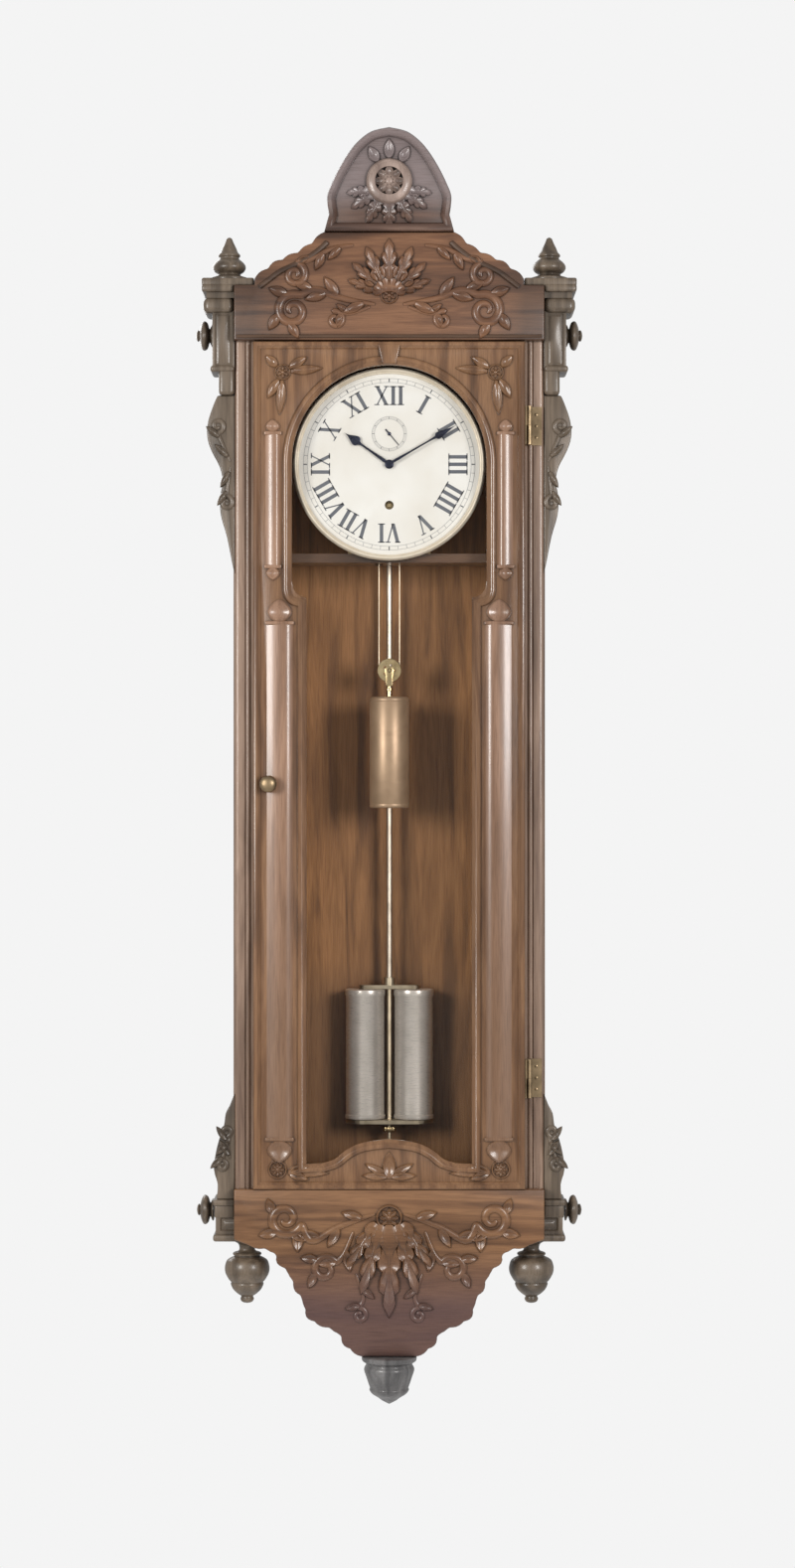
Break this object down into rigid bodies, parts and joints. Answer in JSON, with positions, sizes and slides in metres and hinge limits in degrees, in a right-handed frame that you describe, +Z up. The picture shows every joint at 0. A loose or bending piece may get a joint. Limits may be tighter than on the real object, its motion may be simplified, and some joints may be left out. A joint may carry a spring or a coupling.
{
  "type": "wall regulator clock",
  "caption": "Tall weight-driven wall regulator in a carved walnut case with an arched glazed door, white dial, hands, mercury pendulum and driving weight.",
  "frame": {"origin": "on the rear face of the hanger plate, on the centre line, just above its keyhole", "axes": "+Z up along the case, +Y towards the wall, so the dial faces -Y, and +X to the right seen from the front"},
  "size_m": [0.6086, 0.242, 1.9919],
  "materials": {
    "walnut": "french-polished walnut, mid brown, straight vertical grain",
    "back_walnut": "satin walnut veneer, warm mid brown",
    "door_walnut": "polished walnut with a bright sheen",
    "carved_walnut": "carved walnut, darker in the hollows",
    "dark_walnut": "dark stained turned walnut, satin",
    "brass": "polished and lacquered brass",
    "weight_brass": "polished brass shell, slightly pink",
    "steel": "brushed steel",
    "blued_steel": "dark blued steel",
    "silvered": "silvery jars of mercury, bright and slightly warm",
    "enamel": "white enamelled dial, semi-gloss",
    "glass": "clear door glass"
  },
  "bodies": {
    "case": {"backboard": "back_walnut", "hanger_plate": "steel", "case_top_board": "walnut", "case_floor": "walnut", "case_side_left": "walnut", "case_side_right": "walnut", "face_stile_left": "walnut", "face_stile_right": "walnut", "crest_board": "carved_walnut", "crest_head": "carved_walnut", "apron_board": "carved_walnut", "drop_finial": "dark_walnut", "corner_post_left": "carved_walnut", "corner_post_right": "carved_walnut", "finial_left": "dark_walnut", "finial_right": "dark_walnut", "side_knob_upper_left": "dark_walnut", "side_knob_upper_right": "dark_walnut", "side_knob_lower_left": "dark_walnut", "side_knob_lower_right": "dark_walnut", "upper_bracket_left": "dark_walnut", "upper_bracket_right": "dark_walnut", "lower_bracket_left": "dark_walnut", "lower_bracket_right": "dark_walnut", "foot_block_left": "carved_walnut", "foot_block_right": "carved_walnut", "pendant_left": "dark_walnut", "pendant_right": "dark_walnut", "hinge_upper_case_leaf": "brass", "hinge_lower_case_leaf": "brass", "seat_board": "walnut", "back_plate": "brass", "front_plate": "brass", "dial": "enamel", "dial_bezel": "brass", "suspension_bracket": "steel", "cable": "steel"},
    "door": {"door_frame": "door_walnut", "door_glass": "glass", "hinge_upper_door_leaf": "brass", "hinge_lower_door_leaf": "brass"},
    "latch": {"door_knob": "brass"},
    "minute": {"centre_wheel": "brass", "minute_hand": "blued_steel"},
    "hour": {"hour_hand": "blued_steel"},
    "third": {"third_wheel": "brass"},
    "escape": {"escape_wheel": "brass", "seconds_hand": "blued_steel"},
    "great": {"great_wheel": "brass"},
    "barrel": {"winding_barrel": "brass"},
    "drive": {"weight": "weight_brass", "pulley_fork": "steel"},
    "pulley": {"pulley_wheel": "brass"},
    "pendulum": {"suspension_spring": "steel", "pendulum_rod": "brass", "jar_frame": "brass", "jar_left": "silvered", "jar_right": "silvered", "rating_nut": "brass"},
    "anchor": {"pallet_anchor": "steel"}
  },
  "joints": [
    {"name": "door_swing", "type": "hinge", "parent": "case", "child": "door", "pos_m": [0.219, -0.203, -0.73], "axis": [0, 0, 1], "range_deg": [0, 110]},
    {"name": "latch_turn", "type": "hinge", "parent": "door", "child": "latch", "pos_m": [-0.188, -0.2, -0.76], "axis": [0, 1, 0], "range_deg": [0, 90]},
    {"name": "minute_turn", "type": "hinge", "parent": "case", "child": "minute", "pos_m": [0, -0.15, -0.258], "axis": [0, 1, 0], "continuous": true},
    {"name": "hour_turn", "type": "hinge", "parent": "case", "child": "hour", "pos_m": [0, -0.15, -0.258], "axis": [0, 1, 0], "continuous": true},
    {"name": "third_turn", "type": "hinge", "parent": "case", "child": "third", "pos_m": [0.0144, -0.12, -0.23306], "axis": [0, 1, 0], "continuous": true},
    {"name": "escape_turn", "type": "hinge", "parent": "case", "child": "escape", "pos_m": [0, -0.12, -0.20998], "axis": [0, 1, 0], "continuous": true},
    {"name": "great_turn", "type": "hinge", "parent": "case", "child": "great", "pos_m": [0, -0.12, -0.322], "axis": [0, 1, 0], "continuous": true},
    {"name": "weight_fall", "type": "slide", "parent": "case", "child": "drive", "axis": [0, 0, 1], "range_m": [-0.5, 0.12], "deforming": ["cable"]},
    {"name": "barrel_turn", "type": "hinge", "parent": "case", "child": "barrel", "pos_m": [0, -0.12, -0.322], "axis": [0, 1, 0], "continuous": true},
    {"name": "pulley_turn", "type": "hinge", "parent": "drive", "child": "pulley", "pos_m": [0, -0.12, -0.58], "axis": [0, 1, 0], "continuous": true},
    {"name": "pendulum_swing", "type": "hinge", "parent": "case", "child": "pendulum", "pos_m": [0, -0.053, -0.18798], "axis": [0, 1, 0], "range_deg": [-2, 2]},
    {"name": "anchor_rock", "type": "hinge", "parent": "case", "child": "anchor", "pos_m": [0, -0.12, -0.18798], "axis": [0, 1, 0], "range_deg": [-2, 2]}
  ],
  "couplings": [
    {"joint": "hour_turn", "follows": "minute_turn", "ratio": 0.083333},
    {"joint": "third_turn", "follows": "minute_turn", "ratio": -8},
    {"joint": "escape_turn", "follows": "minute_turn", "ratio": 60},
    {"joint": "great_turn", "follows": "minute_turn", "ratio": -0.066667},
    {"joint": "barrel_turn", "follows": "weight_fall", "rad_per_m": 122.7},
    {"joint": "pulley_turn", "follows": "weight_fall", "rad_per_m": 61.35},
    {"joint": "anchor_rock", "follows": "pendulum_swing", "ratio": 1}
  ]
}
